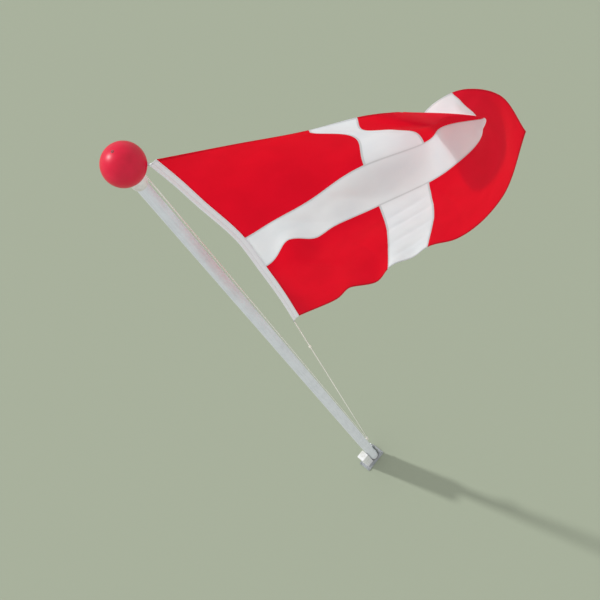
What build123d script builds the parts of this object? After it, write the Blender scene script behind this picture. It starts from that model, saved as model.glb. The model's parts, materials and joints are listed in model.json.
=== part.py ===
"""Ten metre garden flagpole with its tilting foot, truck, ball, halyard and flag.

The origin is on the pole's axis at the underside of the base plate. +Z is up, +X runs along the
hinge bolt towards the cheek plate, and +Y is the side the mast is laid down to. Millimetres.
"""
from build123d import *
from math import acos, atan2, cos, pi, radians, sin
import os

# Clearances
RUNNING_CLEARANCE = 0.08
SLOT_CLEARANCE = 1.0
SIDE_CLEARANCE = 5.0
FACE_GAP = 0.3
CUT_MARGIN = 1.0
ROUND_END_SHARE = 0.9

# Pole
POLE_FOOT_DIAMETER = 112.0
POLE_TOP_DIAMETER = 55.0
POLE_WALL = 4.5
POLE_BOTTOM = 45.0
POLE_STRAIGHT_LENGTH = 1600.0
POLE_TOP = 9840.0
FOOT_PLUG_LENGTH = 660.0

# Base plate
BASE_THICKNESS = 12.0
BASE_MARGIN_X = 38.0
BASE_WIDTH_Y = 160.0
BASE_CORNER = 12.0
ANCHOR_HOLE_DIAMETER = 14.0
ANCHOR_EDGE = 18.0

# Support post and its cap
POST_DEPTH_X = 100.0
POST_WIDTH_Y = 84.0
POST_WALL = 6.0
POST_FOLD_RADIUS = 9.0
POST_TOP = 744.0
CAP_THICKNESS = 6.0
CAP_OVERHANG = 3.0
CAP_CORNER = 8.0

# Cheek plate
CHEEK_THICKNESS = 10.0
CHEEK_WIDTH = 80.0
CHEEK_TOP = 750.0

# Hinge bolt and lock bolt
BOLT_DIAMETER = 20.0
BOLT_HEAD_ACROSS_FLATS = 30.0
BOLT_HEAD_HEIGHT = 12.5
NUT_HEIGHT = 16.0
BOLT_TAIL = 6.0
WASHER_DIAMETER = 37.0
WASHER_THICKNESS = 3.0
HINGE_HEIGHT = 150.0
LOCK_HEIGHT = 620.0

# Truck with its sheave
TRUCK_DIAMETER = 69.0
TRUCK_SKIRT = 34.0
TRUCK_CROWN = 30.0
TRUCK_EDGE = 4.0
ARM_THICKNESS = 5.0
ARM_HEIGHT = 44.0
SHEAVE_WIDTH = 14.0
SHEAVE_GAP = 1.0
GROOVE_DIAMETER = 37.0
FLANGE_HEIGHT = 6.0
SHEAVE_OFFSET = 64.5
ROPE_BEARING = 20.0
SHEAVE_PIN_DIAMETER = 10.0
PIN_HEAD_DIAMETER = 16.0
PIN_HEAD_HEIGHT = 3.0

# Ball and spindle
BALL_DIAMETER = 177.0
BALL_WALL = 3.0
SPINDLE_DIAMETER = 16.0
COLLAR_DIAMETER = 34.0
COLLAR_HEIGHT = 41.5

# Halyard and cleat
ROPE_DIAMETER = 6.0
CLEAT_HEIGHT = 1150.0
CLEAT_LENGTH = 170.0
CLEAT_STEM_LENGTH = 62.0
CLEAT_STEM_WIDTH = 18.0
CLEAT_STEM_HEIGHT = 32.0
CLEAT_HORN_DIAMETER = 16.0
CLEAT_HORN_TIP_DIAMETER = 10.0
CLEAT_BASE_LENGTH = 100.0
CLEAT_BASE_WIDTH = 26.0
CLEAT_BASE_THICKNESS = 6.0
CLEAT_SCREW_DIAMETER = 6.0
CLEAT_SCREW_SPACING = 80.0
SCREW_HEAD_DIAMETER = 9.0
SCREW_HEAD_HEIGHT = 4.0
CLEAT_TURNS = 3

# Flag and its heading. Each guide is a curve along the fly, in guide units from the flag's top
# corner, with X down wind. The guides come from a least-squares study of the photo, thinned and
# rounded, then moved a little by eye. The places count the 37 by 28 units that the flag is sewn in.
WIND_BEARING = -50.7
GUIDE_UNIT = 10.0
CORNER_DROP = 54.0
FLAG_THICKNESS = 3.0
HEADING_WIDTH = 38.0
HEADING_THICKNESS = 5.0
HEADING_BEARING = 167.3
SNAP_DIAMETER = 12.0
SNAP_LENGTH = 30.0
SNAP_GAP = 0.9
SEAM_GAP = 1.3
KNOT_DROP = 780.0
KNOT_DIAMETER = 15.0
KNOT_LENGTH = 34.0
FLY_PLACES = (0, 6, 12, 16, 20, 28, 37)
DROP_PLACES = (0, 6, 12, 16, 22, 28)
TOP_HEM = [(0, 0, 0), (30, 4, 0), (61, 7, 2), (80, 10, 4), (90, 20, -15), (98, 35, -55), (115, 25, -95)]
SHOULDER = [(10, -5, -33), (38, 8, -32), (70, 15, -26), (88, 20, -26), (105, 25, -30), (95, 45, -70),
            (105, 35, -110)]
CROSS_UPPER_SEAM = [(22, -13, -63), (50, 2, -62), (76, 17, -60), (103, 25, -58), (110, 35, -66),
                    (130, 45, -80), (101, 65, -115)]
CROSS_LOWER_SEAM = [(28, -21, -82), (54, -7, -79), (81, 4, -78), (104, 14, -78), (116, 25, -86),
                    (130, 50, -105), (116, 81, -125)]
SKIRT = [(31, -25, -112), (56, -13, -110), (82, 1, -110), (105, 10, -110), (120, 20, -120),
         (140, 50, -135), (141, 90, -150)]
BOTTOM_HEM = [(33, -29, -145), (57, -19, -145), (78, -5, -143), (100, 5, -145), (115, 10, -150),
              (140, 36, -163), (156, 81, -180)]

# Places that follow from the sizes above
POLE_FOOT_RADIUS = POLE_FOOT_DIAMETER / 2
POLE_TOP_RADIUS = POLE_TOP_DIAMETER / 2
INNER_FACE = POLE_FOOT_RADIUS + SIDE_CLEARANCE
POST_CENTRE_X = -INNER_FACE - POST_DEPTH_X / 2
CHEEK_OUTER = INNER_FACE + CHEEK_THICKNESS
BASE_LEFT = -INNER_FACE - POST_DEPTH_X - BASE_MARGIN_X
BASE_RIGHT = CHEEK_OUTER + BASE_MARGIN_X
SHEAVE_CENTRE_Z = POLE_TOP + TRUCK_CROWN / 2
ROPE_RADIUS = ROPE_DIAMETER / 2
ROPE_WRAP_RADIUS = GROOVE_DIAMETER / 2 + ROPE_RADIUS
BALL_CENTRE_Z = POLE_TOP + TRUCK_CROWN + COLLAR_HEIGHT - BALL_WALL + BALL_DIAMETER / 2
GUIDES = [TOP_HEM, SHOULDER, CROSS_UPPER_SEAM, CROSS_LOWER_SEAM, SKIRT, BOTTOM_HEM]


def pole_radius(height):
    """Return the pole's outer radius at a height above the ground."""
    straight_end = POLE_BOTTOM + POLE_STRAIGHT_LENGTH
    if height <= straight_end:
        return POLE_FOOT_RADIUS
    share = (height - straight_end) / (POLE_TOP - straight_end)
    return POLE_FOOT_RADIUS + share * (POLE_TOP_RADIUS - POLE_FOOT_RADIUS)


def cylinder_x(radius, start, end, y=0.0, z=0.0):
    """Return a cylinder along X between two X places."""
    return Pos((start + end) / 2, y, z) * Rot(0, 90, 0) * Cylinder(radius, abs(end - start))


def hexagon_x(across_flats, start, end, z):
    """Return a hexagonal prism along X between two X places."""
    outline = Plane.YZ.offset(start) * Pos(0, z) * RegularPolygon(across_flats / 2, 6, major_radius=False)
    return extrude(outline, end - start)


def bolt_arc_slot(start, end):
    """Return the cutter of the open slot that the lock bolt leaves by when the mast tilts to +Y."""
    half_width = BOLT_DIAMETER / 2 + SLOT_CLEARANCE
    swing = LOCK_HEIGHT - HINGE_HEIGHT
    ring = Plane.YZ.offset(start) * Pos(0, HINGE_HEIGHT) * (
        Circle(swing + half_width) - Circle(swing - half_width))
    ring = extrude(ring, end - start)
    reach = CHEEK_WIDTH + POST_WIDTH_Y
    window = Pos((start + end) / 2, reach / 2, LOCK_HEIGHT) * Box(end - start, reach, 4 * half_width)
    return (ring & window) + cylinder_x(half_width, start, end, 0, LOCK_HEIGHT)


def make_base_plate():
    """Return the base plate with its four anchor holes."""
    length = BASE_RIGHT - BASE_LEFT
    centre = (BASE_RIGHT + BASE_LEFT) / 2
    outline = Pos(centre, 0) * RectangleRounded(length, BASE_WIDTH_Y, BASE_CORNER)
    holes = Pos(centre, 0) * GridLocations(length - 2 * ANCHOR_EDGE, BASE_WIDTH_Y - 2 * ANCHOR_EDGE, 2, 2)
    outline -= holes * Circle(ANCHOR_HOLE_DIAMETER / 2)
    return extrude(outline, BASE_THICKNESS)


def make_support_post():
    """Return the folded channel beside the mast, open towards +Y, with its bolt hole and slot."""
    outer = RectangleRounded(POST_DEPTH_X, POST_WIDTH_Y, POST_FOLD_RADIUS)
    inner = RectangleRounded(POST_DEPTH_X - 2 * POST_WALL, POST_WIDTH_Y - 2 * POST_WALL,
                             POST_FOLD_RADIUS - POST_WALL)
    mouth = Pos(0, POST_WIDTH_Y / 2) * Rectangle(POST_DEPTH_X - 2 * POST_WALL, POST_WIDTH_Y)
    square_end = Pos(0, POST_WIDTH_Y / 4) * Rectangle(POST_DEPTH_X, POST_WIDTH_Y / 2)
    profile = outer + square_end - inner - mouth
    post = Pos(POST_CENTRE_X, 0, BASE_THICKNESS) * extrude(profile, POST_TOP - BASE_THICKNESS)
    inner_wall = -INNER_FACE - POST_WALL
    through = (inner_wall - CUT_MARGIN, -INNER_FACE + CUT_MARGIN)
    post -= cylinder_x(BOLT_DIAMETER / 2 + RUNNING_CLEARANCE, *through, 0, HINGE_HEIGHT)
    return post - bolt_arc_slot(*through)


def make_post_cap():
    """Return the lid that closes the top of the support post."""
    lid = RectangleRounded(POST_DEPTH_X + CAP_OVERHANG, POST_WIDTH_Y + 2 * CAP_OVERHANG, CAP_CORNER)
    cap = Pos(POST_CENTRE_X - CAP_OVERHANG / 2, 0, POST_TOP) * extrude(lid, CAP_THICKNESS)
    return chamfer(cap.faces().sort_by(Axis.Z)[-1].edges(), CAP_THICKNESS / 4)


def make_cheek_plate():
    """Return the flat bar on the mast's other side, with a round head, a bolt hole and a slot."""
    half = CHEEK_WIDTH / 2
    shaft = Pos(0, (BASE_THICKNESS + CHEEK_TOP - half) / 2) * Rectangle(
        CHEEK_WIDTH, CHEEK_TOP - half - BASE_THICKNESS)
    head = Pos(0, CHEEK_TOP - half) * Circle(half)
    plate = extrude(Plane.YZ.offset(INNER_FACE) * (shaft + head), CHEEK_THICKNESS)
    through = (INNER_FACE - CUT_MARGIN, CHEEK_OUTER + CUT_MARGIN)
    plate -= cylinder_x(BOLT_DIAMETER / 2 + RUNNING_CLEARANCE, *through, 0, HINGE_HEIGHT)
    return plate - bolt_arc_slot(*through)


def make_bolt(height, gap):
    """Return a bolt with its head's washer outside the cheek plate; gap parts the washer from it."""
    seat = CHEEK_OUTER + gap
    tail = -INNER_FACE - POST_WALL - gap - WASHER_THICKNESS - NUT_HEIGHT - BOLT_TAIL
    bolt = cylinder_x(BOLT_DIAMETER / 2, tail, seat + WASHER_THICKNESS, 0, height)
    bolt += cylinder_x(WASHER_DIAMETER / 2, seat, seat + WASHER_THICKNESS, 0, height)
    return bolt + hexagon_x(BOLT_HEAD_ACROSS_FLATS, seat + WASHER_THICKNESS,
                            seat + WASHER_THICKNESS + BOLT_HEAD_HEIGHT, height)


def make_nut(height, gap):
    """Return a nut with its washer inside the support post; gap parts the washer from the wall."""
    seat = -INNER_FACE - POST_WALL - gap
    nut = cylinder_x(WASHER_DIAMETER / 2, seat - WASHER_THICKNESS, seat, 0, height)
    nut += hexagon_x(BOLT_HEAD_ACROSS_FLATS, seat - WASHER_THICKNESS - NUT_HEIGHT,
                     seat - WASHER_THICKNESS, height)
    return nut - cylinder_x(BOLT_DIAMETER / 2, seat - 2 * NUT_HEIGHT, seat + CUT_MARGIN, 0, height)


def make_pole():
    """Return the hollow glass fibre pole, straight at the foot and tapered above it."""
    straight_end = POLE_BOTTOM + POLE_STRAIGHT_LENGTH
    outline = Polyline(
        (POLE_FOOT_RADIUS - POLE_WALL, POLE_BOTTOM),
        (POLE_FOOT_RADIUS, POLE_BOTTOM),
        (POLE_FOOT_RADIUS, straight_end),
        (POLE_TOP_RADIUS, POLE_TOP),
        (POLE_TOP_RADIUS - POLE_WALL, POLE_TOP),
        (POLE_FOOT_RADIUS - POLE_WALL, straight_end),
        close=True)
    pole = revolve(Plane.XZ * make_face(outline), Axis.Z)
    return pole - bolt_bores()


def bolt_bores():
    """Return the cutters of the two bolt bores through the mast."""
    reach = POLE_FOOT_DIAMETER
    hinge = cylinder_x(BOLT_DIAMETER / 2 + RUNNING_CLEARANCE, -reach, reach, 0, HINGE_HEIGHT)
    lock = cylinder_x(BOLT_DIAMETER / 2, -reach, reach, 0, LOCK_HEIGHT)
    return hinge + lock


def make_foot_plug():
    """Return the wooden plug that fills the pole's foot where the bolts pass."""
    plug = Pos(0, 0, POLE_BOTTOM + FOOT_PLUG_LENGTH / 2) * Cylinder(
        POLE_FOOT_RADIUS - POLE_WALL, FOOT_PLUG_LENGTH)
    return plug - bolt_bores()


def make_truck():
    """Return the cap on the pole's top with the two arms that hold the sheave, before it is turned."""
    bottom = POLE_TOP - TRUCK_SKIRT
    cap = Pos(0, 0, bottom + (TRUCK_SKIRT + TRUCK_CROWN) / 2) * Cylinder(
        TRUCK_DIAMETER / 2, TRUCK_SKIRT + TRUCK_CROWN)
    cap = fillet(cap.faces().sort_by(Axis.Z)[-1].edges(), TRUCK_EDGE)
    fork = arm_outline()
    inner = SHEAVE_WIDTH / 2 + SHEAVE_GAP
    for side in (1, -1):
        start = side * inner
        arm = extrude(Plane.XZ.offset(-start) * fork, -side * ARM_THICKNESS)
        cap += arm
    slot_start = SHEAVE_OFFSET - GROOVE_DIAMETER / 2 - FLANGE_HEIGHT - 2 * SHEAVE_GAP
    slot = Pos(slot_start + TRUCK_DIAMETER / 2, 0, SHEAVE_CENTRE_Z) * Box(
        TRUCK_DIAMETER, 2 * inner, 4 * TRUCK_CROWN)
    cap -= slot & (Pos(0, 0, POLE_TOP + 2 * TRUCK_CROWN) * Cylinder(2 * TRUCK_DIAMETER, 8 * TRUCK_CROWN))
    socket = Pos(0, 0, bottom + TRUCK_SKIRT / 2) * Cylinder(pole_socket_radius(), TRUCK_SKIRT)
    cap -= socket
    cap -= Pos(SHEAVE_OFFSET, 0, SHEAVE_CENTRE_Z) * Rot(90, 0, 0) * Cylinder(
        SHEAVE_PIN_DIAMETER / 2, TRUCK_DIAMETER)
    return cap - Pos(0, 0, POLE_TOP + TRUCK_CROWN) * Cylinder(SPINDLE_DIAMETER / 2, TRUCK_CROWN)


def pole_socket_radius():
    """Return the radius of the truck's socket, a sliding fit on the pole below its top."""
    return pole_radius(POLE_TOP - TRUCK_SKIRT) + RUNNING_CLEARANCE


def arm_outline():
    """Return the outline of one sheave arm in the XZ plane."""
    eye_radius = ARM_HEIGHT / 2
    eye = Pos(SHEAVE_OFFSET, SHEAVE_CENTRE_Z) * Circle(eye_radius / 2)
    root = Pos(POLE_TOP_RADIUS, SHEAVE_CENTRE_Z) * Rectangle(TRUCK_EDGE, TRUCK_CROWN)
    return make_hull((eye + root).edges())


def make_sheave():
    """Return the grooved wheel that the halyard runs over."""
    rim = GROOVE_DIAMETER / 2 + FLANGE_HEIGHT
    body = Cylinder(rim, SHEAVE_WIDTH)
    groove_radius = ROPE_RADIUS + FACE_GAP
    groove = Pos(ROPE_WRAP_RADIUS, 0) * Circle(groove_radius)
    groove += Pos(ROPE_WRAP_RADIUS + rim / 2, 0) * Rectangle(rim, 2 * groove_radius)
    body -= revolve(Plane.XZ * groove, Axis.Z)
    body -= Cylinder(SHEAVE_PIN_DIAMETER / 2 + RUNNING_CLEARANCE, 2 * SHEAVE_WIDTH)
    return Pos(SHEAVE_OFFSET, 0, SHEAVE_CENTRE_Z) * Rot(90, 0, 0) * body


def make_sheave_pin():
    """Return the headed pin through the arms and the sheave."""
    half = SHEAVE_WIDTH / 2 + SHEAVE_GAP + ARM_THICKNESS
    pin = Cylinder(SHEAVE_PIN_DIAMETER / 2, 2 * half)
    pin += Pos(0, 0, half + PIN_HEAD_HEIGHT / 2) * Cylinder(PIN_HEAD_DIAMETER / 2, PIN_HEAD_HEIGHT)
    pin += Pos(0, 0, -half - PIN_HEAD_HEIGHT / 2) * Cylinder(PIN_HEAD_DIAMETER / 2, PIN_HEAD_HEIGHT)
    return Pos(SHEAVE_OFFSET, 0, SHEAVE_CENTRE_Z) * Rot(90, 0, 0) * pin


def make_spindle():
    """Return the ball's spindle with the collar that the ball sits on."""
    bottom = POLE_TOP + TRUCK_CROWN / 2
    rod = Pos(0, 0, (bottom + BALL_CENTRE_Z) / 2) * Cylinder(SPINDLE_DIAMETER / 2, BALL_CENTRE_Z - bottom)
    collar = Pos(0, 0, POLE_TOP + TRUCK_CROWN + COLLAR_HEIGHT / 2) * Cylinder(
        COLLAR_DIAMETER / 2, COLLAR_HEIGHT)
    return rod + collar


def make_ball():
    """Return the hollow ball, open below where it sits on the spindle's collar."""
    outer = Sphere(BALL_DIAMETER / 2) - Sphere(BALL_DIAMETER / 2 - BALL_WALL)
    outer -= Pos(0, 0, -BALL_DIAMETER / 2) * Cylinder(COLLAR_DIAMETER / 2, BALL_DIAMETER / 2)
    return Pos(0, 0, BALL_CENTRE_Z) * outer


def make_cleat():
    """Return the two-horned cleat on the pole's side, before it is turned."""
    face = POLE_FOOT_RADIUS
    base = RectangleRounded(CLEAT_BASE_WIDTH, CLEAT_BASE_LENGTH, ROUND_END_SHARE * CLEAT_BASE_WIDTH / 2)
    foot = extrude(Plane.YZ.offset(face - CLEAT_BASE_THICKNESS) * base, 2 * CLEAT_BASE_THICKNESS)
    stem_corner = ROUND_END_SHARE * CLEAT_STEM_WIDTH / 2
    stem_profile = RectangleRounded(CLEAT_STEM_WIDTH, CLEAT_STEM_LENGTH, stem_corner)
    stem = extrude(Plane.YZ.offset(face) * stem_profile, CLEAT_BASE_THICKNESS + CLEAT_STEM_HEIGHT)
    horn_x = face + CLEAT_BASE_THICKNESS + CLEAT_STEM_HEIGHT
    bar = Pos(horn_x, 0, 0) * make_horns()
    cleat = Pos(0, 0, CLEAT_HEIGHT) * (foot + stem + bar - screw_holes())
    return cleat - Pos(0, 0, CLEAT_HEIGHT) * Cylinder(POLE_FOOT_RADIUS, 4 * CLEAT_LENGTH)


def make_horns():
    """Return the cleat's two horns as one bar that thins towards its round ends."""
    half = CLEAT_LENGTH / 2
    middle = CLEAT_HORN_DIAMETER / 2
    tip = CLEAT_HORN_TIP_DIAMETER / 2
    side = Spline((middle, 0), (0.5 * (middle + tip), 0.6 * half), (tip, half - tip),
                  tangents=[(0, 1), (tip - middle, half)])
    round_middle = (tip * sin(radians(45)), half - tip * (1 - cos(radians(45))))
    end = ThreePointArc((tip, half - tip), round_middle, (0, half))
    outline = make_face([side, end, Line((0, half), (0, 0)), Line((0, 0), (middle, 0))])
    horn = revolve(Plane.XZ * outline, Axis.Z)
    return horn + mirror(horn, Plane.XY)


def screw_holes():
    """Return the cutters of the two screw holes through the cleat's base, at the origin's height."""
    back = POLE_FOOT_RADIUS - 2 * CLEAT_BASE_THICKNESS
    hole = cylinder_x(CLEAT_SCREW_DIAMETER / 2, back, POLE_FOOT_RADIUS + 2 * CLEAT_BASE_THICKNESS)
    return Pos(0, 0, CLEAT_SCREW_SPACING / 2) * hole + Pos(0, 0, -CLEAT_SCREW_SPACING / 2) * hole


def make_cleat_screws():
    """Return the cleat's two pan head screws."""
    seat = POLE_FOOT_RADIUS + CLEAT_BASE_THICKNESS
    head = cylinder_x(SCREW_HEAD_DIAMETER / 2, seat, seat + SCREW_HEAD_HEIGHT)
    screw = head + cylinder_x(CLEAT_SCREW_DIAMETER / 2, POLE_FOOT_RADIUS + FACE_GAP, seat)
    places = [Pos(0, 0, CLEAT_HEIGHT + side * CLEAT_SCREW_SPACING / 2) for side in (1, -1)]
    return Compound(children=[place * screw for place in places])


def make_halyard():
    """Return the halyard from the cleat up over the sheave and down to the flag's top."""
    start = Vector(inner_leg_foot())
    centre = Vector(SHEAVE_OFFSET, 0, SHEAVE_CENTRE_Z)
    toward = start - centre
    bearing = atan2(toward.Z, toward.X)
    tangent = bearing - acos(ROPE_WRAP_RADIUS / toward.length)
    rim = [centre + Vector(ROPE_WRAP_RADIUS * cos(a), 0, ROPE_WRAP_RADIUS * sin(a))
           for a in (tangent, pi / 2, 0.0)]
    end = Vector(rim[2].X, 0, flag_corner().Z + SNAP_GAP + SNAP_LENGTH + FACE_GAP)
    path = Wire([Line(start, rim[0]).edge(), ThreePointArc(*rim).edge(), Line(rim[2], end).edge()])
    section = Plane(origin=start, z_dir=rim[0] - start) * Circle(ROPE_RADIUS)
    return sweep(section, path=path)


def inner_leg_foot():
    """Return the place where the inner leg reaches the cleat."""
    x = POLE_FOOT_RADIUS + CLEAT_BASE_THICKNESS + CLEAT_STEM_HEIGHT / 2
    return (x, 0, CLEAT_HEIGHT + CLEAT_STEM_LENGTH / 2 + ROPE_DIAMETER + 2 * FACE_GAP)


def turned(shape):
    """Turn a piece of the rope's gear from the XZ plane to the side where the rope hangs."""
    return Rot(0, 0, ROPE_BEARING) * shape


def heading_step():
    """Return the level step across the heading from the cloth to its free edge."""
    return Vector(cos(radians(HEADING_BEARING)), sin(radians(HEADING_BEARING)), 0) * HEADING_WIDTH


def flag_corner():
    """Return the cloth's top corner, placed so that the heading's free corner is under the halyard."""
    leg = Vector(SHEAVE_OFFSET + ROPE_WRAP_RADIUS, 0, POLE_TOP - CORNER_DROP).rotate(Axis.Z, ROPE_BEARING)
    return leg - heading_step()


def guide_points():
    """Return the guides' points as rows of places on the flagpole."""
    corner = flag_corner()
    return [[corner + (Vector(*point) * GUIDE_UNIT).rotate(Axis.Z, WIND_BEARING) for point in guide]
            for guide in GUIDES]


def slopes(places, points):
    """Return the slope at each point of a smooth curve that passes the points at their places."""
    steps = [(b - a) / (q - p) for a, b, p, q in zip(points, points[1:], places, places[1:])]
    inner = []
    for before, after, first, second in zip(steps, steps[1:], gaps(places), gaps(places[1:])):
        inner.append((before * second + after * first) / (first + second))
    return [steps[0], *inner, steps[-1]]


def gaps(places):
    """Return the distances between neighbouring places."""
    return [b - a for a, b in zip(places, places[1:])]


def slopes_down(places, rows):
    """Return the slopes of a grid of points along its columns, as rows."""
    columns = [slopes(places, column) for column in zip(*rows)]
    return [list(row) for row in zip(*columns)]


def corner_net(point, along, down, twist, flip_along, flip_down):
    """Return the four control points at one corner of a patch, from the corner inwards."""
    along = along * flip_along
    down = down * flip_down
    return [[point, point + down], [point + along, point + along + down + twist * flip_along * flip_down]]


def patch_nets(across, drops, rows):
    """Return the control nets of the smooth patches between the points of a grid."""
    along = [slopes(across, row) for row in rows]
    down = slopes_down(drops, rows)
    twist = slopes_down(drops, along)
    nets = []
    for r, drop in enumerate(gaps(drops)):
        for c, width in enumerate(gaps(across)):
            corners = {}
            for i in (0, 1):
                for j in (0, 1):
                    values = [grid[r + j][c + i] for grid in (rows, along, down, twist)]
                    corners[i, j] = corner_net(*values, (1 - 2 * i) * width / 3, (1 - 2 * j) * drop / 3)
            near = [corners[0, 0][i] + corners[0, 1][i][::-1] for i in (0, 1)]
            far = [corners[1, 0][i] + corners[1, 1][i][::-1] for i in (1, 0)]
            nets.append((r, c, near + far))
    return nets


def make_cloth(across, drops, rows, thickness):
    """Return a closed sheet of even thickness through a grid of points."""
    along = [slopes(across, row) for row in rows]
    down = slopes_down(drops, rows)
    skins = []
    for side in (thickness / 2, -thickness / 2):
        shifted = [[point + a.cross(d).normalized() * side for point, a, d in zip(*lines)]
                   for lines in zip(rows, along, down)]
        skins.append(patch_nets(across, drops, shifted))
    faces = [Face.make_bezier_surface(net) for skin in skins for _, _, net in skin]
    for (r, c, front), (_, _, back) in zip(*skins):
        if c == 0:
            faces.append(Face.make_bezier_surface([front[0], back[0]]))
        if c == len(across) - 2:
            faces.append(Face.make_bezier_surface([front[-1], back[-1]]))
        if r == 0:
            rims = [[line[0] for line in net] for net in (front, back)]
            faces.append(Face.make_bezier_surface(rims))
        if r == len(drops) - 2:
            rims = [[line[-1] for line in net] for net in (front, back)]
            faces.append(Face.make_bezier_surface(rims))
    return Solid(Shell(faces))


def make_flag():
    """Return the cloth from the heading's seam to the fly end as the wind holds it."""
    rows = guide_points()
    for row in rows:
        row[0] += (row[1] - row[0]).normalized() * SEAM_GAP
    return make_cloth(FLY_PLACES, DROP_PLACES, rows, FLAG_THICKNESS)


def make_heading():
    """Return the white canvas band along the hoist, from its free edge to the cloth's seam."""
    rows = [[row[0] + heading_step(), row[0]] for row in guide_points()]
    return make_cloth((0, HEADING_WIDTH / GUIDE_UNIT), DROP_PLACES, rows, HEADING_THICKNESS)


def lower_line_ends():
    """Return the line's foot at the cleat and the heading's lower free corner that it pulls at."""
    foot = Vector(inner_leg_foot()) - Vector(0, 2 * ROPE_DIAMETER, 0)
    return foot.rotate(Axis.Z, ROPE_BEARING), guide_points()[-1][0] + heading_step()


def make_lower_line():
    """Return the line from the flag's lower snap down to the cleat, with the knot in it."""
    foot, corner = lower_line_ends()
    up = (corner - foot).normalized()
    end = corner - up * (SNAP_GAP + SNAP_LENGTH + FACE_GAP)
    line = sweep(Plane(origin=foot, z_dir=up) * Circle(ROPE_RADIUS), path=Wire([Line(foot, end).edge()]))
    knot = Cylinder(KNOT_DIAMETER / 2, KNOT_LENGTH)
    knot = fillet(knot.edges(), KNOT_DIAMETER / 3)
    return line + Plane(origin=corner - up * KNOT_DROP, z_dir=up) * knot


def make_upper_snap():
    """Return the snap between the halyard's end and the heading's upper free corner."""
    place = flag_corner() + heading_step()
    middle = place.Z + SNAP_GAP + SNAP_LENGTH / 2
    return Pos(place.X, place.Y, middle) * Cylinder(SNAP_DIAMETER / 2, SNAP_LENGTH)


def make_lower_snap():
    """Return the snap between the heading's lower free corner and the line below it."""
    foot, corner = lower_line_ends()
    up = (corner - foot).normalized()
    return Plane(origin=corner - up * (SNAP_GAP + SNAP_LENGTH / 2), z_dir=up) * Cylinder(
        SNAP_DIAMETER / 2, SNAP_LENGTH)


def make_hitch():
    """Return the halyard's turns round the cleat's stem."""
    half = CLEAT_STEM_LENGTH / 2 + ROPE_RADIUS + FACE_GAP
    side = CLEAT_STEM_WIDTH / 2 + ROPE_RADIUS + FACE_GAP
    start = POLE_FOOT_RADIUS + CLEAT_BASE_THICKNESS + SCREW_HEAD_HEIGHT + ROPE_RADIUS + FACE_GAP
    turns = []
    for turn in range(CLEAT_TURNS):
        x = start + turn * (ROPE_DIAMETER + FACE_GAP)
        outline = RectangleRounded(2 * side, 2 * half, ROUND_END_SHARE * side)
        loop = Plane.YZ.offset(x) * Pos(0, CLEAT_HEIGHT) * outline
        path = loop.face().outer_wire()
        turns.append(sweep(Plane(origin=path @ 0, z_dir=path % 0) * Circle(ROPE_RADIUS), path=path))
    return Compound(children=turns)


PARTS = {
    "base_plate": make_base_plate,
    "support_post": make_support_post,
    "post_cap": make_post_cap,
    "cheek_plate": make_cheek_plate,
    "hinge_bolt": lambda: make_bolt(HINGE_HEIGHT, 0.0),
    "hinge_nut": lambda: make_nut(HINGE_HEIGHT, 0.0),
    "pole": make_pole,
    "foot_plug": make_foot_plug,
    "lock_bolt": lambda: make_bolt(LOCK_HEIGHT, FACE_GAP),
    "lock_nut": lambda: make_nut(LOCK_HEIGHT, FACE_GAP),
    "truck": lambda: turned(make_truck()),
    "sheave": lambda: turned(make_sheave()),
    "sheave_pin": lambda: turned(make_sheave_pin()),
    "ball_spindle": make_spindle,
    "ball": make_ball,
    "cleat": lambda: turned(make_cleat()),
    "cleat_screws": lambda: turned(make_cleat_screws()),
    "halyard": lambda: turned(make_halyard()),
    "halyard_hitch": lambda: turned(make_hitch()),
    "lower_line": make_lower_line,
    "upper_snap": make_upper_snap,
    "lower_snap": make_lower_snap,
    "heading": make_heading,
    "flag": make_flag,
}


def main():
    """Write one STEP file per piece."""
    os.makedirs("parts", exist_ok=True)
    for name, make in PARTS.items():
        export_step(make(), f"parts/{name}.step")


if __name__ == "__main__":
    main()
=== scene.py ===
"""Garden flagpole with its flag blown out by the wind, dressed for the camera high above it.

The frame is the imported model's: metres, +Z up the pole, the origin on the pole's axis at the ground.
"""

import json
import logging
import math
from dataclasses import dataclass, field
from enum import Enum
from typing import Callable, Optional, Sequence

import bmesh
import bpy
from mathutils import Matrix, Vector

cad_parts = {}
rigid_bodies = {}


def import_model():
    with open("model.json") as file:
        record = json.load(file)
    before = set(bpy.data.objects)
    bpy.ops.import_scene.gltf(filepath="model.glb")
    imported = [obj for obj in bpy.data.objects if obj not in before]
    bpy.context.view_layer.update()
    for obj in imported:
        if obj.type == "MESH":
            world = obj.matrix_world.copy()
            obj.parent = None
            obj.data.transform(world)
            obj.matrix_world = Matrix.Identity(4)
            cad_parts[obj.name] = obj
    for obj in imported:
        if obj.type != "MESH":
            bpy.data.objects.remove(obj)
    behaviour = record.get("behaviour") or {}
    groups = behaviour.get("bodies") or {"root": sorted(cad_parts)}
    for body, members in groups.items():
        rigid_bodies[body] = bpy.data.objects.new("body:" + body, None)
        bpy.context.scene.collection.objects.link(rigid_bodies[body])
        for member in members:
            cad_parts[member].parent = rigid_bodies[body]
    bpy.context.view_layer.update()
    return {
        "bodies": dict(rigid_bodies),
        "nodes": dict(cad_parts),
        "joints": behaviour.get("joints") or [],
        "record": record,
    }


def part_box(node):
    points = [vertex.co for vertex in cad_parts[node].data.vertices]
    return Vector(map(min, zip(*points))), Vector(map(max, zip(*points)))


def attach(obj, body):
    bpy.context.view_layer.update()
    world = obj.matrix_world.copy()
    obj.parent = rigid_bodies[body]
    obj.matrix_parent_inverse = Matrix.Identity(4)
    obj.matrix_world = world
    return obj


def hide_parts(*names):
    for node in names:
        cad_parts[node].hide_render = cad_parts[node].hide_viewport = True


LOG = logging.getLogger("flagpole")
MM = 0.001
# the level turn in degrees from the photograph's frame, with X to the right and down wind, to the model's
WIND_BEARING = -50.7
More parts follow.
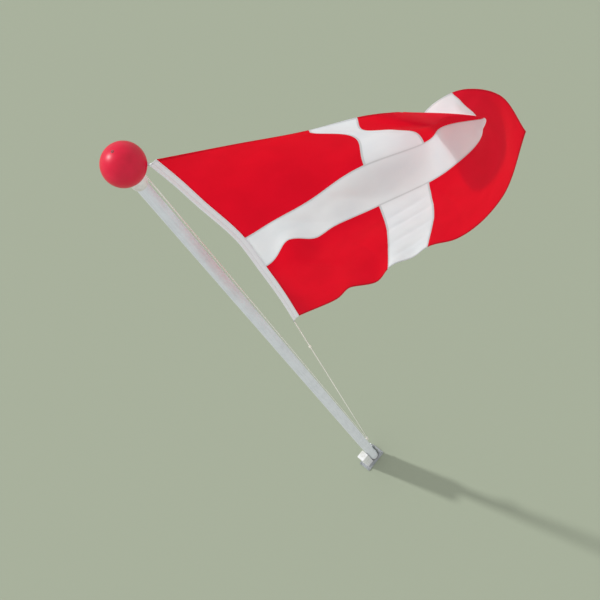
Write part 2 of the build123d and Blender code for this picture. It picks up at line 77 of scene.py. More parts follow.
# the step along the cloth over which its slope is read, in sewing units
SLOPE_STEP = 0.02
# points closer together than this are one, such as those on a turned part's axis
MERGE_DISTANCE = 0.01 * MM
LATHE_STEPS = 24


class Body(Enum):
    """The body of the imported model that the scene's own pieces ride with."""

    MAST = "mast"


# Helpers for nodes, colours and meshes


def linear(colour: str) -> tuple:
    """Turn an sRGB hex colour into the linear colour that shaders use.

    Args:
        colour: Six hex digits with a leading hash.

    Returns:
        Red, green, blue and an alpha of one.
    """
    parts = [int(colour[i:i + 2], 16) / 255 for i in (1, 3, 5)]
    turned = [c / 12.92 if c <= 0.04045 else ((c + 0.055) / 1.055) ** 2.4 for c in parts]
    return (*turned, 1.0)


def add_node(tree: bpy.types.NodeTree, kind: str, inputs: Optional[dict] = None, stops: Sequence[tuple] = (),
             **settings) -> bpy.types.Node:
    """Add one node with its settings and its links.

    Args:
        tree: The material's or the world's node tree.
        kind: The node's type name, without its ShaderNode start.
        inputs: Values, sockets or nodes by the input's name or number; a node is linked by its first output.
        stops: Pairs of a place and a hex colour, for a node that has colour stops.
        settings: Attributes of the node itself.

    Returns:
        The new node.
    """
    node = tree.nodes.new("ShaderNode" + kind)
    for name, value in settings.items():
        setattr(node, name, value)
    for key, value in (inputs or {}).items():
        if isinstance(value, bpy.types.Node):
            value = value.outputs[0]
        if isinstance(value, bpy.types.NodeSocket):
            tree.links.new(value, node.inputs[key])
        else:
            node.inputs[key].default_value = value
    for number, (place, colour) in enumerate(stops):
        node.color_ramp.elements[number].position = place
        node.color_ramp.elements[number].color = linear(colour)
    return node


def new_material(name: str) -> tuple:
    """Start a material with an empty node tree.

    Args:
        name: The real material's name.

    Returns:
        The material and its tree.
    """
    material = bpy.data.materials.new(name)
    material.use_nodes = True
    material.node_tree.nodes.clear()
    return material, material.node_tree


def woven_height(tree: bpy.types.NodeTree, threads: tuple, turn: float) -> bpy.types.Node:
    """Weave a pattern of crossing warp and weft threads.

    Args:
        tree: The node tree.
        threads: The map's two coordinates, as nodes or sockets.
        turn: Radians of the pattern for one unit of the map.

    Returns:
        A node that gives the threads' height, from zero to one.
    """
    waves = []
    for along in threads:
        angle = add_node(tree, "Math", {0: along, 1: turn}, operation="MULTIPLY")
        waves.append(add_node(tree, "Math", {0: angle}, operation="SINE"))
    crossed = add_node(tree, "Math", {0: waves[0], 1: waves[1]}, operation="MULTIPLY")
    return add_node(tree, "Math", {0: crossed, 1: 0.5, 2: 0.5}, operation="MULTIPLY_ADD")


def finish_mesh(shape: bmesh.types.BMesh, name: str, smooth: bool = True) -> bpy.types.Object:
    """Turn a bmesh into a shaded object at the origin.

    Args:
        shape: The mesh, which is freed.
        name: The piece's name.
        smooth: Whether its faces are shaded smooth.

    Returns:
        The linked object.
    """
    mesh = bpy.data.meshes.new(name)
    shape.to_mesh(mesh)
    shape.free()
    for polygon in mesh.polygons:
        polygon.use_smooth = smooth
    piece = bpy.data.objects.new(name, mesh)
    bpy.context.scene.collection.objects.link(piece)
    return piece


def spin_profile(shape: bmesh.types.BMesh, outline_mm: Sequence[tuple]) -> None:
    """Turn a part about the Z axis from its outline.

    Args:
        shape: The mesh that gets the part.
        outline_mm: Pairs of a radius and a height, in millimetres.
    """
    verts = [shape.verts.new((across * MM, 0, rise * MM)) for across, rise in outline_mm]
    edges = [shape.edges.new(pair) for pair in zip(verts, verts[1:])]
    bmesh.ops.spin(shape, geom=verts + edges, cent=(0, 0, 0), axis=(0, 0, 1), angle=2 * math.pi,
                   steps=LATHE_STEPS, use_merge=True)
    bmesh.ops.remove_doubles(shape, verts=shape.verts, dist=MERGE_DISTANCE)


def sewing_grid(across: int, down: int, width: float, height: float) -> bmesh.types.BMesh:
    """Start a flat square grid of side one with its own map, for a cloth to be bent from.

    Args:
        across: Faces across.
        down: Faces down.
        width: What the map counts across the whole grid.
        height: What the map counts down the whole grid.

    Returns:
        The grid, centred on the origin, with the map named sewing.
    """
    shape = bmesh.new()
    bmesh.ops.create_grid(shape, x_segments=across, y_segments=down, size=0.5)
    sewing = shape.loops.layers.uv.new("sewing")
    for face in shape.faces:
        for loop in face.loops:
            loop[sewing].uv = ((loop.vert.co.x + 0.5) * width, (0.5 - loop.vert.co.y) * height)
    return shape


def wind_turn() -> Matrix:
    """Return the turn from the photograph's level frame to the model's."""
    return Matrix.Rotation(math.radians(WIND_BEARING), 3, "Z")


# Finishes


@dataclass(frozen=True)
class GelCoat:
    """White gel coat on wound glass fibre: smooth and slightly chalky, with faint wind-borne dirt.

    The dirt runs in thin streaks down the pole, and rain has splashed a little soil on its foot.
    """

    name: str = "glass_fibre_gel_coat"
    colour: str = "#DCE1E6"
    dulled: str = "#D2D7DC"
    soil: str = "#B3AD9C"
    roughness: float = 0.5
    cloud_mm: float = 160.0
    streak_mm: float = 9.0
    stretch: float = 0.02
    splash_mm: float = 260.0
    drop_mm: float = 14.0
    chalk_mm: float = 2.5

    def make(self) -> bpy.types.Material:
        """Build the gel coat with clouds, fine streaks and the splashes at its foot.

        Returns:
            The material.
        """
        material, tree = new_material(self.name)
        place = add_node(tree, "TexCoord").outputs["Object"]
        long = add_node(tree, "Mapping", {"Vector": place, "Scale": (1.0, 1.0, self.stretch)})
        streak = add_node(tree, "TexNoise", {"Vector": long, "Scale": 1 / (self.streak_mm * MM),
                                             "Detail": 3.0})
        cloud = add_node(tree, "TexNoise", {"Vector": place, "Scale": 1 / (self.cloud_mm * MM),
                                            "Detail": 4.0})
        half = add_node(tree, "Math", {0: cloud, 1: 0.5}, operation="MULTIPLY")
        both = add_node(tree, "Math", {0: streak, 1: 0.5, 2: half}, operation="MULTIPLY_ADD")
        coat = add_node(tree, "ValToRGB", {0: both}, stops=[(0.38, self.dulled), (0.56, self.colour)])
        splash = self.splash(tree, place)
        mixed = add_node(tree, "Mix", {0: splash, 6: coat, 7: linear(self.soil)}, data_type="RGBA")
        colour = mixed.outputs[2]
        rough = add_node(tree, "Math", {0: both, 1: -0.08, 2: self.roughness + 0.04},
                         operation="MULTIPLY_ADD")
        chalk = add_node(tree, "TexNoise", {"Vector": place, "Scale": 1 / (self.chalk_mm * MM),
                                            "Detail": 2.0})
        bump = add_node(tree, "Bump", {"Height": chalk, "Strength": 0.05, "Distance": 0.2 * MM})
        shader = add_node(tree, "BsdfPrincipled", {"Base Color": colour, "Roughness": rough, "Normal": bump,
                                                   "IOR": 1.5})
        add_node(tree, "OutputMaterial", {0: shader})
        return material

    def splash(self, tree: bpy.types.NodeTree, place: bpy.types.NodeSocket) -> bpy.types.Node:
        """Splash soil on the coat, which fades out above the ground.

        Args:
            tree: The node tree.
            place: The place on the pole.

        Returns:
            A node that gives the soil's share of the colour.
        """
        height = add_node(tree, "SeparateXYZ", {0: place}).outputs[2]
        fade = add_node(tree, "MapRange", {"Value": height, "From Max": self.splash_mm * MM, "To Min": 0.55,
                                           "To Max": 0.0})
        drops = add_node(tree, "TexNoise", {"Vector": place, "Scale": 1 / (self.drop_mm * MM),
                                            "Detail": 5.0})
        spots = add_node(tree, "MapRange", {"Value": drops, "From Min": 0.46, "From Max": 0.66})
        return add_node(tree, "Math", {0: fade, 1: spots}, operation="MULTIPLY")


@dataclass(frozen=True)
class RedLacquer:
    """Glossy red lacquer on a spun ball: a deep coat with a faint orange-peel surface."""

    name: str = "red_lacquer"
    colour: str = "#D40F37"
    deep: str = "#CA0D32"
    roughness: float = 0.34
    cloud_mm: float = 60.0
    peel_mm: float = 4.0

    def make(self) -> bpy.types.Material:
        """Build the lacquer with its orange peel.

        Returns:
            The material.
        """
        material, tree = new_material(self.name)
        place = add_node(tree, "TexCoord").outputs["Object"]
        cloud = add_node(tree, "TexNoise", {"Vector": place, "Scale": 1 / (self.cloud_mm * MM),
                                            "Detail": 3.0})
        colour = add_node(tree, "ValToRGB", {0: cloud}, stops=[(0.35, self.deep), (0.6, self.colour)])
        peel = add_node(tree, "TexNoise", {"Vector": place, "Scale": 1 / (self.peel_mm * MM), "Detail": 1.0})
        bump = add_node(tree, "Bump", {"Height": peel, "Strength": 0.12, "Distance": 0.15 * MM})
        rough = add_node(tree, "Math", {0: cloud, 1: 0.12, 2: self.roughness - 0.04},
                         operation="MULTIPLY_ADD")
        shader = add_node(tree, "BsdfPrincipled", {"Base Color": colour, "Roughness": rough, "Normal": bump,
                                                   "IOR": 1.5, "Specular IOR Level": 0.3})
        add_node(tree, "OutputMaterial", {0: shader})
        return material


@dataclass(frozen=True)
class ZincCoat:
    """Hot-dip galvanised steel: pale grey with soft spangle and a dry, slightly uneven skin."""

    name: str = "galvanised_steel"
    light: str = "#B9BDC0"
    dark: str = "#969B9F"
    spangle_mm: float = 11.0
    blot_mm: float = 70.0
    roughness: float = 0.46

    def make(self) -> bpy.types.Material:
        """Build the zinc with its spangle in colour, roughness and bump.

        Returns:
            The material.
        """
        material, tree = new_material(self.name)
        place = add_node(tree, "TexCoord").outputs["Object"]
        cell = add_node(tree, "TexVoronoi", {"Vector": place, "Scale": 1 / (self.spangle_mm * MM)})
        tone = add_node(tree, "SeparateColor", {0: cell.outputs["Color"]})
        blot = add_node(tree, "TexNoise", {"Vector": place, "Scale": 1 / (self.blot_mm * MM), "Detail": 5.0})
        weaker = add_node(tree, "Math", {0: blot, 1: 0.6}, operation="MULTIPLY")
        both = add_node(tree, "Math", {0: tone, 1: 0.4, 2: weaker}, operation="MULTIPLY_ADD")
        colour = add_node(tree, "ValToRGB", {0: both}, stops=[(0.25, self.dark), (0.7, self.light)])
        rough = add_node(tree, "Math", {0: both, 1: 0.2, 2: self.roughness - 0.1}, operation="MULTIPLY_ADD")
        bump = add_node(tree, "Bump", {"Height": both, "Strength": 0.15, "Distance": 0.3 * MM})
        shader = add_node(tree, "BsdfPrincipled", {"Base Color": colour, "Metallic": 0.85, "Roughness": rough,
                                                   "Normal": bump})
        add_node(tree, "OutputMaterial", {0: shader})
        return material


@dataclass(frozen=True)
class BrightSteel:
    """Turned stainless steel: bright, with fine tool lines round the part."""

    name: str = "stainless_steel"
    colour: str = "#C4C6C8"
    line_mm: float = 0.8
    roughness: float = 0.28

    def make(self) -> bpy.types.Material:
        """Build the steel with its fine tool lines.

        Returns:
            The material.
        """
        material, tree = new_material(self.name)
        place = add_node(tree, "TexCoord").outputs["Object"]
        lines = add_node(tree, "TexNoise", {"Vector": place, "Scale": 1 / (self.line_mm * MM), "Detail": 2.0})
        rough = add_node(tree, "Math", {0: lines, 1: 0.18, 2: self.roughness - 0.06},
                         operation="MULTIPLY_ADD")
        bump = add_node(tree, "Bump", {"Height": lines, "Strength": 0.1, "Distance": 0.05 * MM})
        shader = add_node(tree, "BsdfPrincipled", {"Base Color": linear(self.colour), "Metallic": 1.0,
                                                   "Roughness": rough, "Normal": bump})
        add_node(tree, "OutputMaterial", {0: shader})
        return material


@dataclass(frozen=True)
class PlainCoat:
    """A moulded plastic, a sprayed enamel or sawn timber: one colour, clouds of grime and a fine grain."""

    name: str
    colour: str
    grime: str
    roughness: float
    grain_mm: float
    bump: float
    cloud_mm: float = 90.0

    def make(self) -> bpy.types.Material:
        """Build the coat with clouds of grime and its fine grain.

        Returns:
            The material.
        """
        material, tree = new_material(self.name)
        place = add_node(tree, "TexCoord").outputs["Object"]
        cloud = add_node(tree, "TexNoise", {"Vector": place, "Scale": 1 / (self.cloud_mm * MM), "Detail": 6.0,
                                            "Roughness": 0.6})
        colour = add_node(tree, "ValToRGB", {0: cloud}, stops=[(0.34, self.grime), (0.52, self.colour)])
        grain = add_node(tree, "TexNoise", {"Vector": place, "Scale": 1 / (self.grain_mm * MM),
                                            "Detail": 2.0})
        rough = add_node(tree, "Math", {0: cloud, 1: -0.14, 2: self.roughness + 0.07},
                         operation="MULTIPLY_ADD")
        bump = add_node(tree, "Bump", {"Height": grain, "Strength": self.bump, "Distance": 0.2 * MM})
        shader = add_node(tree, "BsdfPrincipled", {"Base Color": colour, "Roughness": rough, "Normal": bump,
                                                   "IOR": 1.49})
        add_node(tree, "OutputMaterial", {0: shader})
        return material


@dataclass(frozen=True)
class BraidedCord:
    """Braided white polyester cord: crossing strands a few millimetres long, with grey painted shade in the
    grooves between them.
    """

    name: str = "braided_polyester"
    colour: str = "#F8F5EA"
    # painted shade: the grooves between the strands get this grey, the crowns the cord's white
    strand_groove_shade: str = "#D2CDBF"
    strand_mm: float = 7.0
    strands: int = 6

    def make(self) -> bpy.types.Material:
        """Build the braid from the tube's own attribute: round the cord in x and y, along it in z.

        Returns:
            The material.
        """
        material, tree = new_material(self.name)
        lay = add_node(tree, "Attribute", attribute_name="lay").outputs["Vector"]
        part = add_node(tree, "SeparateXYZ", {0: lay}).outputs
        angle = add_node(tree, "Math", {0: part[1], 1: part[0]}, operation="ARCTAN2")
        around = add_node(tree, "Math", {0: angle, 1: float(self.strands)}, operation="MULTIPLY")
        along = add_node(tree, "Math", {0: part[2], 1: 2 * math.pi / (self.strand_mm * MM)},
                         operation="MULTIPLY")
        rising = add_node(tree, "Math", {0: around, 1: along}, operation="ADD")
        falling = add_node(tree, "Math", {0: around, 1: along}, operation="SUBTRACT")
        right = add_node(tree, "Math", {0: rising}, operation="SINE")
        left = add_node(tree, "Math", {0: falling}, operation="SINE")
        crossed = add_node(tree, "Math", {0: right, 1: left}, operation="MULTIPLY")
        braid = add_node(tree, "Math", {0: crossed, 1: 0.5, 2: 0.5}, operation="MULTIPLY_ADD")
        # the braid's valleys take the grey of painted shade and its crowns the cord's white
        colour = add_node(tree, "ValToRGB", {0: braid}, stops=[(0.0, self.strand_groove_shade), (0.45, self.colour)])
        bump = add_node(tree, "Bump", {"Height": braid, "Strength": 0.6, "Distance": 0.6 * MM})
        shader = add_node(tree, "BsdfPrincipled", {"Base Color": colour, "Roughness": 0.78, "Normal": bump,
                                                   "Sheen Weight": 0.25})
        add_node(tree, "OutputMaterial", {0: shader})
        return material


@dataclass(frozen=True)
class Bunting:
    """Woven polyester bunting, red with a white cross sewn in: thin enough to glow with light behind it.

    The piece's own map counts the flag's sewing units: 37 along the fly and 28 down the hoist.
    """

    name: str = "flag_bunting"
    red: str = "#F6153F"
    deep_red: str = "#F2143C"
    white: str = "#FAFBFD"
    shade_white: str = "#F5F7FA"
    unit_mm: float = 54.07
    cross_near: float = 12.0
    cross_far: float = 16.0
    fly_units: float = 37.0
    hoist_units: float = 28.0
    hem_mm: float = 16.0
    seam_mm: float = 9.0
    stitch_mm: float = 5.0
    row_mm: float = 0.9
    # a thread every 0.6 mm is too fine to show, so the weave is drawn four times as coarse
    thread_mm: float = 2.4
    glow: float = 0.6

    def make(self) -> bpy.types.Material:
        """Build the cloth with its cross, laps, hems, stitches and weave.

        Returns:
            The material.
        """
        material, tree = new_material(self.name)
        spot = add_node(tree, "SeparateXYZ", {0: add_node(tree, "UVMap", uv_map="sewing")}).outputs
        u = add_node(tree, "Math", {0: spot[0], 1: self.fly_units}, operation="MULTIPLY")
        v = add_node(tree, "Math", {0: spot[1], 1: self.hoist_units}, operation="MULTIPLY")
        off_u, off_v = self.off_middle(tree, u), self.off_middle(tree, v)
        nearest = add_node(tree, "Math", {0: off_u, 1: off_v}, operation="MINIMUM")
        in_cross = add_node(tree, "Math", {0: nearest, 1: self.half_cross()}, operation="LESS_THAN")
        place = add_node(tree, "CombineXYZ", {0: u, 1: v})
        cloud = add_node(tree, "TexNoise", {"Vector": place, "Scale": 0.35, "Detail": 4.0})
        red = add_node(tree, "ValToRGB", {0: cloud}, stops=[(0.35, self.deep_red), (0.62, self.red)])
        white = add_node(tree, "ValToRGB", {0: cloud}, stops=[(0.3, self.shade_white), (0.6, self.white)])
        colour = add_node(tree, "Mix", {0: in_cross, 6: red, 7: white}, data_type="RGBA").outputs[2]
        double = add_node(tree, "Math", {0: self.laps(tree, off_u, off_v), 1: self.hems(tree, u, v)},
                          operation="MAXIMUM")
        stitch = self.stitches(tree, u, v, off_u, off_v)
        # where the cloth lies double at the laps and hems its colour is darkened by 15 %: painted shade in
        # the reflected colour, and the real weaker glow of two layers in the light that passes through
        doubled_cloth_shade = add_node(tree, "Math", {0: double, 1: -0.15, 2: 1.0}, operation="MULTIPLY_ADD")
        shade = add_node(tree, "HueSaturation", {"Color": colour, "Value": doubled_cloth_shade})
        woven = add_node(tree, "Math", {0: self.weave(tree, u, v), 1: 0.35}, operation="MULTIPLY")
        lapped = add_node(tree, "Math", {0: double, 1: 1.6, 2: woven}, operation="MULTIPLY_ADD")
        height = add_node(tree, "Math", {0: stitch, 1: -1.2, 2: lapped}, operation="MULTIPLY_ADD")
        bump = add_node(tree, "Bump", {"Height": height, "Strength": 0.5, "Distance": 0.5 * MM})
        shader = add_node(tree, "BsdfPrincipled", {"Base Color": shade, "Roughness": 0.72, "Normal": bump,
                                                   "Specular IOR Level": 0.15})
        through = add_node(tree, "BsdfTranslucent", {"Color": shade, "Normal": bump})
        mixed = add_node(tree, "MixShader", {0: self.glow, 1: shader, 2: through})
        add_node(tree, "OutputMaterial", {0: mixed})
        return material

    def half_cross(self) -> float:
        """Return half the cross's width in sewing units."""
        return (self.cross_far - self.cross_near) / 2

    def off_middle(self, tree: bpy.types.NodeTree, along: bpy.types.Node) -> bpy.types.Node:
        """Measure the distance from the middle of the cross's bar.

        Args:
            tree: The node tree.
            along: Sewing units across the bar.

        Returns:
            A node that gives the distance in sewing units.
        """
        middle = (self.cross_near + self.cross_far) / 2
        off = add_node(tree, "Math", {0: along, 1: middle}, operation="SUBTRACT")
        return add_node(tree, "Math", {0: off}, operation="ABSOLUTE")

    def laps(self, tree: bpy.types.NodeTree, off_u: bpy.types.Node, off_v: bpy.types.Node) -> bpy.types.Node:
        """Return one where the red and the white cloth lap at the cross's seams.

        Args:
            tree: The node tree.
            off_u: Distance from the cross's middle along the fly, in sewing units.
            off_v: Distance from the cross's middle down the hoist, in sewing units.

        Returns:
            A node that gives one on the lap and zero elsewhere.
        """
        width = self.seam_mm / self.unit_mm
        edge = self.half_cross() - width / 2
        upright = add_node(tree, "Math", {0: off_u, 1: edge, 2: width / 2}, operation="COMPARE")
        level = add_node(tree, "Math", {0: off_v, 1: edge, 2: width / 2}, operation="COMPARE")
        outside = add_node(tree, "Math", {0: off_v, 1: edge - width / 2}, operation="GREATER_THAN")
        pieced = add_node(tree, "Math", {0: upright, 1: outside}, operation="MULTIPLY")
        return add_node(tree, "Math", {0: pieced, 1: level}, operation="MAXIMUM")

    def hems(self, tree: bpy.types.NodeTree, u: bpy.types.Node, v: bpy.types.Node) -> bpy.types.Node:
        """Fold the cloth over at the two long hems and the fly end.

        Args:
            tree: The node tree.
            u: Sewing units along the fly.
            v: Sewing units down the hoist.

        Returns:
            A node that gives one on a hem and zero elsewhere.
        """
        width = self.hem_mm / self.unit_mm
        top = add_node(tree, "Math", {0: v, 1: width}, operation="LESS_THAN")
        bottom = add_node(tree, "Math", {0: v, 1: self.hoist_units - width}, operation="GREATER_THAN")
        end = add_node(tree, "Math", {0: u, 1: self.fly_units - width}, operation="GREATER_THAN")
        long = add_node(tree, "Math", {0: top, 1: bottom}, operation="MAXIMUM")
        return add_node(tree, "Math", {0: long, 1: end}, operation="MAXIMUM")

    def stitches(self, tree: bpy.types.NodeTree, u: bpy.types.Node, v: bpy.types.Node, off_u: bpy.types.Node,
                 off_v: bpy.types.Node) -> bpy.types.Node:
        """Return one on the stitches: two rows on each lap and one on each hem.

        Args:
            tree: The node tree.
            u: Sewing units along the fly.
            v: Sewing units down the hoist.
            off_u: Distance from the cross's middle along the fly, in sewing units.
            off_v: Distance from the cross's middle down the hoist, in sewing units.

        Returns:
            A node that gives one on a stitch and zero elsewhere.
        """
        thread = self.row_mm / 2 / self.unit_mm
        inset = 2 * self.row_mm / self.unit_mm
        half, width, hem = self.half_cross(), self.seam_mm / self.unit_mm, self.hem_mm / self.unit_mm
        rows = [(off_v, half - inset, u), (off_v, half - width + inset, u),
                (off_u, half - inset, v), (off_u, half - width + inset, v),
                (v, hem - inset, u), (v, self.hoist_units - hem + inset, u),
                (u, self.fly_units - hem + inset, v)]
        found = None
        for across, line, along in rows:
            on_row = add_node(tree, "Math", {0: across, 1: line, 2: thread}, operation="COMPARE")
            count = add_node(tree, "Math", {0: along, 1: self.unit_mm / self.stitch_mm}, operation="MULTIPLY")
            phase = add_node(tree, "Math", {0: count}, operation="FRACT")
            sewn = add_node(tree, "Math", {0: phase, 1: 0.7}, operation="LESS_THAN")
            stitch = add_node(tree, "Math", {0: on_row, 1: sewn}, operation="MULTIPLY")
            if found is not None:
                stitch = add_node(tree, "Math", {0: found, 1: stitch}, operation="MAXIMUM")
            found = stitch
        return found

    def weave(self, tree: bpy.types.NodeTree, u: bpy.types.Node, v: bpy.types.Node) -> bpy.types.Node:
        """Return the height of the threads, which cross once every thread_mm."""
        return woven_height(tree, (u, v), 2 * math.pi * self.unit_mm / self.thread_mm)


@dataclass(frozen=True)
class Canvas:
    """Heavy white cotton-polyester canvas: a tight weave, two rows of stitches and a rope sewn inside."""

    name: str = "heading_canvas"
    colour: str = "#E9EAEC"
    # painted shade as well as thread: each stitch row, stitches and gaps alike, is greyed 70 % of the way to
    # this colour for the shade in the groove that the row pulls in
    thread: str = "#C9CBD0"
    thread_mm: float = 2.0
    stitch_mm: float = 7.0
    row_mm: float = 1.4
    width_mm: float = 38.0
    edge_row_mm: float = 4.0
    rope_row_share: float = 0.42

    def make(self) -> bpy.types.Material:
        """Build the canvas from the band's own map: millimetres across in u and along in v.

        Returns:
            The material.
        """
        material, tree = new_material(self.name)
        spot = add_node(tree, "SeparateXYZ", {0: add_node(tree, "UVMap", uv_map="sewing")}).outputs
        weave = woven_height(tree, (spot[0], spot[1]), 2 * math.pi / self.thread_mm)
        near_cloth = add_node(tree, "Math", {0: spot[0], 1: self.width_mm - self.edge_row_mm,
                                             2: self.row_mm / 2}, operation="COMPARE")
        near_rope = add_node(tree, "Math", {0: spot[0], 1: self.width_mm * self.rope_row_share,
                                            2: self.row_mm / 2}, operation="COMPARE")
        row = add_node(tree, "Math", {0: near_cloth, 1: near_rope}, operation="MAXIMUM")
        count = add_node(tree, "Math", {0: spot[1], 1: self.stitch_mm}, operation="DIVIDE")
        phase = add_node(tree, "Math", {0: count}, operation="FRACT")
        sewn = add_node(tree, "Math", {0: phase, 1: 0.65}, operation="LESS_THAN")
        stitch = add_node(tree, "Math", {0: row, 1: sewn}, operation="MULTIPLY")
        # the whole row is greyed, not only its stitches: painted shade of the row's groove
        stitch_row_shade = add_node(tree, "Math", {0: row, 1: 0.7}, operation="MULTIPLY")
        colour = add_node(tree, "Mix", {0: stitch_row_shade, 6: linear(self.colour), 7: linear(self.thread)},
                          data_type="RGBA").outputs[2]
        woven = add_node(tree, "Math", {0: weave, 1: 0.4}, operation="MULTIPLY")
        raised = add_node(tree, "Math", {0: stitch, 1: 0.8, 2: woven}, operation="MULTIPLY_ADD")
        height = add_node(tree, "Math", {0: raised, 1: row}, operation="SUBTRACT")
        bump = add_node(tree, "Bump", {"Height": height, "Strength": 0.6, "Distance": 0.6 * MM})
        shader = add_node(tree, "BsdfPrincipled", {"Base Color": colour, "Roughness": 0.8, "Normal": bump,
                                                   "Sheen Weight": 0.2})
        add_node(tree, "OutputMaterial", {0: shader})
        return material


# Curves and cloth


def slopes(places: Sequence[float], points: Sequence[Vector]) -> list:
    """Work out the slopes of a smooth curve that passes points at their places.

    Args:
        places: Where each point lies along the curve.
        points: The points.

    Returns:
        The slope at each point.
    """
    steps = [(b - a) / (q - p) for a, b, p, q in zip(points, points[1:], places, places[1:])]
    widths = [q - p for p, q in zip(places, places[1:])]
    inner = [(before * second + after * first) / (first + second)
             for before, after, first, second in zip(steps, steps[1:], widths, widths[1:])]
    return [steps[0], *inner, steps[-1]]


def along_curve(places: Sequence[float], points: Sequence[Vector], tangents: Sequence[Vector],
                at: float) -> Vector:
    """Evaluate a smooth curve through points.

    Args:
        places: Where each point lies along the curve.
        points: The points.
        tangents: The slope at each point.
        at: The place to evaluate.

    Returns:
        The curve's point at that place.
    """
    k = 0
    while k < len(places) - 2 and at > places[k + 1]:
        k += 1
    width = places[k + 1] - places[k]
    t = (at - places[k]) / width
    start = points[k] * (2 * t ** 3 - 3 * t ** 2 + 1) + tangents[k] * (width * (t ** 3 - 2 * t ** 2 + t))
    end = points[k + 1] * (3 * t ** 2 - 2 * t ** 3) + tangents[k + 1] * (width * (t ** 3 - t ** 2))
    return start + end


@dataclass(frozen=True)
class Crease:
    """A soft wrinkle in the cloth between two places in sewing units, with its height and width."""

    start: tuple
    end: tuple
    height_mm: float
    width_mm: float
    # it fades to nothing over this many times its length, and is left out past this many widths aside
    run_out: float = 1.3
    widths_aside: float = 3.0

    def lift(self, u: float, v: float, unit_mm: float) -> float:
        """Work out how far the wrinkle lifts the cloth at a place.

        Args:
            u: Sewing units along the fly.
            v: Sewing units down the hoist.
            unit_mm: The sewing unit in millimetres.

        Returns:
            The lift in millimetres.
        """
        ax, ay = self.start
        bx, by = self.end
        dx, dy = bx - ax, by - ay
        length = math.hypot(dx, dy)
        t = ((u - ax) * dx + (v - ay) * dy) / length ** 2
        side = abs((u - ax) * dy - (v - ay) * dx) / length * unit_mm / self.width_mm
        if side > self.widths_aside:
            return 0.0
        taper = max(0.0, 1 - (2 * (t - 0.5) / self.run_out) ** 2)
        return self.height_mm * taper * math.exp(-side * side)


@dataclass(frozen=True)
class Pull:
    """A place where the wind or the sewing pulls the cloth aside, by centimetres in the wind's frame."""

    at: tuple
    spread: tuple
    shift: tuple

    def share(self, u: float, v: float) -> float:
        """Return how much of the pull is felt at a place in sewing units."""
        aside, below = (u - self.at[0]) / self.spread[0], (v - self.at[1]) / self.spread[1]
        return math.exp(-aside ** 2 - below ** 2)


